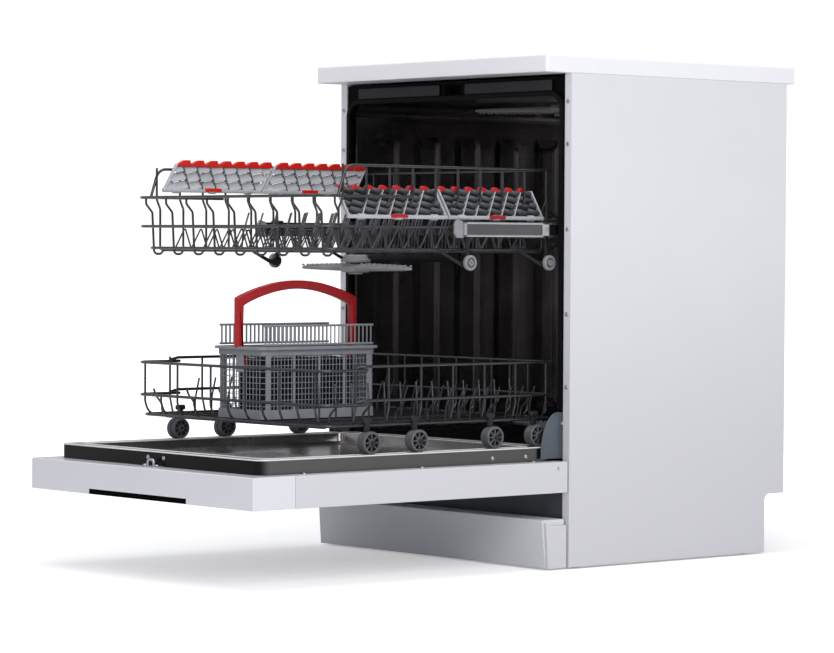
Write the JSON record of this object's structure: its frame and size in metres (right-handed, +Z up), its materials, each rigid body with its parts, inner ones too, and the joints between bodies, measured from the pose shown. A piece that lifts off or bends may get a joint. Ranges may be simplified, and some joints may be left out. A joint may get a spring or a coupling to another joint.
{
  "type": "dishwasher",
  "caption": "Freestanding dishwasher standing open, door down level and both wire racks drawn out, with cutlery basket, folding shelves and spray arms.",
  "frame": {"origin": "centre of the bounding box at floor level, with the door open and the racks out", "axes": "+X is the machine's right side seen from behind the open door looking at the tub, +Y runs from the open door to the back, +Z up"},
  "size_m": [0.598, 1.19, 0.845],
  "materials": {
    "worktop": "white laminate",
    "paint": "white enamel",
    "back": "galvanised",
    "base": "dark moulded plastic",
    "plinth": "grey paint",
    "tub": "brushed stainless",
    "frame": "black",
    "rubber": "moulded rubber",
    "steel": "plated steel",
    "cover": "grey blue plastic",
    "chrome": "polished",
    "greyplastic": "grey plastic",
    "black": "black plastic",
    "fascia": "white plastic",
    "window": "smoked window",
    "button": "light grey",
    "board": "circuit board",
    "wire": "coated wire",
    "wheel": "grey plastic",
    "basket": "light grey plastic",
    "red": "red plastic",
    "shelf": "grey plastic",
    "liner": "brushed stainless",
    "dispenser": "light grey plastic",
    "feet": "black plastic"
  },
  "bodies": {
    "cabinet": {"worktop": "worktop", "panel_right": "paint", "panel_left": "paint", "back_panel": "back", "base_pan": "base", "feet": "feet", "plinth": "plinth", "tub_wrapper": "tub", "tub_back": "tub", "tub_floor": "tub", "front_frame": "frame", "door_seal": "rubber", "lower_seal": "rubber", "hinge_mounts": "steel", "hinge_covers": "cover", "latch_unit": "black", "rails_fixed": "chrome", "spray_feed": "greyplastic", "circulation_pump": "black", "drain_pump": "black", "inlet_valve": "greyplastic", "balance_springs": "steel", "cabinet_screws": "steel"},
    "door": {"door_panel": "paint", "fascia": "fascia", "grip_insert": "black", "display_window": "window", "control_board": "board", "door_liner": "liner", "dispenser_body": "dispenser", "door_striker": "steel", "hinge_arms": "steel", "door_screws": "steel"},
    "dispenser_lid": {"dispenser_lid": "dispenser"},
    "rinse_cap": {"rinse_cap": "dispenser"},
    "button_power": {"button_power": "button"},
    "button_program": {"button_program": "button"},
    "button_start": {"button_start": "button"},
    "arm_top": {"arm_top": "greyplastic"},
    "arm_lower": {"arm_lower": "greyplastic"},
    "arm_upper": {"arm_upper": "greyplastic"},
    "filter_cup": {"filter_cup": "greyplastic"},
    "salt_cap": {"salt_cap": "greyplastic"},
    "lower_rack": {"lower_rack": "wire"},
    "tines_left": {"tines_left": "wire"},
    "tines_right": {"tines_right": "wire"},
    "wheels_1": {"wheels_1": "wheel"},
    "wheels_2": {"wheels_2": "wheel"},
    "wheels_3": {"wheels_3": "wheel"},
    "wheels_4": {"wheels_4": "wheel"},
    "basket": {"basket_body": "basket", "basket_handle": "red"},
    "lid_left": {"lid_left": "basket"},
    "lid_right": {"lid_right": "basket"},
    "upper_rack": {"upper_rack": "wire"},
    "rails_middle": {"rails_middle": "chrome"},
    "shelf_left_front": {"shelf_left_front": "shelf"},
    "shelf_left_rear": {"shelf_left_rear": "shelf"},
    "shelf_right_front": {"shelf_right_front": "shelf"},
    "shelf_right_rear": {"shelf_right_rear": "shelf"}
  },
  "joints": [
    {"name": "a_door", "type": "hinge", "parent": "cabinet", "child": "door", "pos_m": [0, 0.069, 0.163], "axis": [-1, 0, 0], "range_deg": [0, 0.03]},
    {"name": "b_lower_rack", "type": "slide", "parent": "cabinet", "child": "lower_rack", "axis": [0, 1, 0], "range_m": [0, 0.476]},
    {"name": "c_upper_rack", "type": "slide", "parent": "cabinet", "child": "upper_rack", "axis": [0, 1, 0], "range_m": [0, 0.476]},
    {"name": "d_rails_middle", "type": "slide", "parent": "cabinet", "child": "rails_middle", "axis": [0, 1, 0], "range_m": [0, 0.238]},
    {"name": "w_wheels_1", "type": "hinge", "parent": "lower_rack", "child": "wheels_1", "pos_m": [0, -0.329, 0.22], "axis": [1, 0, 0], "range_deg": [-1520, 0]},
    {"name": "w_wheels_2", "type": "hinge", "parent": "lower_rack", "child": "wheels_2", "pos_m": [0, -0.23, 0.22], "axis": [1, 0, 0], "range_deg": [-1520, 0]},
    {"name": "w_wheels_3", "type": "hinge", "parent": "lower_rack", "child": "wheels_3", "pos_m": [0, -0.068, 0.22], "axis": [1, 0, 0], "range_deg": [-1520, 0]},
    {"name": "w_wheels_4", "type": "hinge", "parent": "lower_rack", "child": "wheels_4", "pos_m": [0, 0.027, 0.22], "axis": [1, 0, 0], "range_deg": [-1520, 0]},
    {"name": "e_tines_left", "type": "hinge", "parent": "lower_rack", "child": "tines_left", "pos_m": [-0.165, -0.154, 0.2521], "axis": [0, -1, 0], "range_deg": [0, 70]},
    {"name": "f_tines_right", "type": "hinge", "parent": "lower_rack", "child": "tines_right", "pos_m": [0.165, -0.154, 0.2521], "axis": [0, 1, 0], "range_deg": [0, 70]},
    {"name": "g_basket", "type": "slide", "parent": "lower_rack", "child": "basket", "axis": [0, 0, 1], "range_m": [0, 0.012]},
    {"name": "h_lid_left", "type": "hinge", "parent": "basket", "child": "lid_left", "pos_m": [-0.066, -0.2685, 0.3694], "axis": [0, 1, 0], "range_deg": [0, 84]},
    {"name": "i_lid_right", "type": "hinge", "parent": "basket", "child": "lid_right", "pos_m": [0.05, -0.2685, 0.3694], "axis": [0, -1, 0], "range_deg": [0, 84]},
    {"name": "j_shelf_left_front", "type": "hinge", "parent": "upper_rack", "child": "shelf_left_front", "pos_m": [-0.2403, -0.269, 0.622], "axis": [0, 1, 0], "range_deg": [0, 82]},
    {"name": "k_shelf_left_rear", "type": "hinge", "parent": "upper_rack", "child": "shelf_left_rear", "pos_m": [-0.2403, -0.059, 0.622], "axis": [0, 1, 0], "range_deg": [0, 82]},
    {"name": "l_shelf_right_front", "type": "hinge", "parent": "upper_rack", "child": "shelf_right_front", "pos_m": [0.2403, -0.261, 0.577], "axis": [0, -1, 0], "range_deg": [0, 82]},
    {"name": "m_shelf_right_rear", "type": "hinge", "parent": "upper_rack", "child": "shelf_right_rear", "pos_m": [0.2403, -0.051, 0.577], "axis": [0, -1, 0], "range_deg": [0, 82]},
    {"name": "n_dispenser_lid", "type": "hinge", "parent": "door", "child": "dispenser_lid", "pos_m": [-0.028, -0.3016, 0.186], "axis": [-1, 0, 0], "range_deg": [0, 40]},
    {"name": "o_arm_lower", "type": "hinge", "parent": "cabinet", "child": "arm_lower", "pos_m": [0, 0.316, 0.212], "axis": [0, 0, 1], "continuous": true},
    {"name": "p_arm_upper", "type": "hinge", "parent": "upper_rack", "child": "arm_upper", "pos_m": [0, -0.15, 0.493], "axis": [0, 0, 1], "continuous": true},
    {"name": "q_arm_top", "type": "hinge", "parent": "cabinet", "child": "arm_top", "pos_m": [0, 0.316, 0.7715], "axis": [0, 0, 1], "continuous": true},
    {"name": "r_filter_cup", "type": "slide", "parent": "cabinet", "child": "filter_cup", "axis": [0, 0, 1], "range_m": [0, 0.024]},
    {"name": "s_salt_cap", "type": "hinge", "parent": "cabinet", "child": "salt_cap", "pos_m": [-0.16, 0.181, 0.1715], "axis": [0, 0, 1], "continuous": true},
    {"name": "t_rinse_cap", "type": "hinge", "parent": "door", "child": "rinse_cap", "pos_m": [0.044, -0.339, 0.184], "axis": [0, 0, 1], "continuous": true},
    {"name": "u_button_power", "type": "slide", "parent": "door", "child": "button_power", "axis": [0, 0, 1], "range_m": [0, 0.0015], "stiffness_N_per_m": 400},
    {"name": "u_button_program", "type": "slide", "parent": "door", "child": "button_program", "axis": [0, 0, 1], "range_m": [0, 0.0015], "stiffness_N_per_m": 400},
    {"name": "u_button_start", "type": "slide", "parent": "door", "child": "button_start", "axis": [0, 0, 1], "range_m": [0, 0.0015], "stiffness_N_per_m": 400}
  ],
  "couplings": [
    {"joint": "d_rails_middle", "follows": "c_upper_rack", "ratio": 0.5},
    {"joint": "w_wheels_1", "follows": "b_lower_rack", "rad_per_m": -55.556},
    {"joint": "w_wheels_2", "follows": "b_lower_rack", "rad_per_m": -55.556},
    {"joint": "w_wheels_3", "follows": "b_lower_rack", "rad_per_m": -55.556},
    {"joint": "w_wheels_4", "follows": "b_lower_rack", "rad_per_m": -55.556}
  ]
}
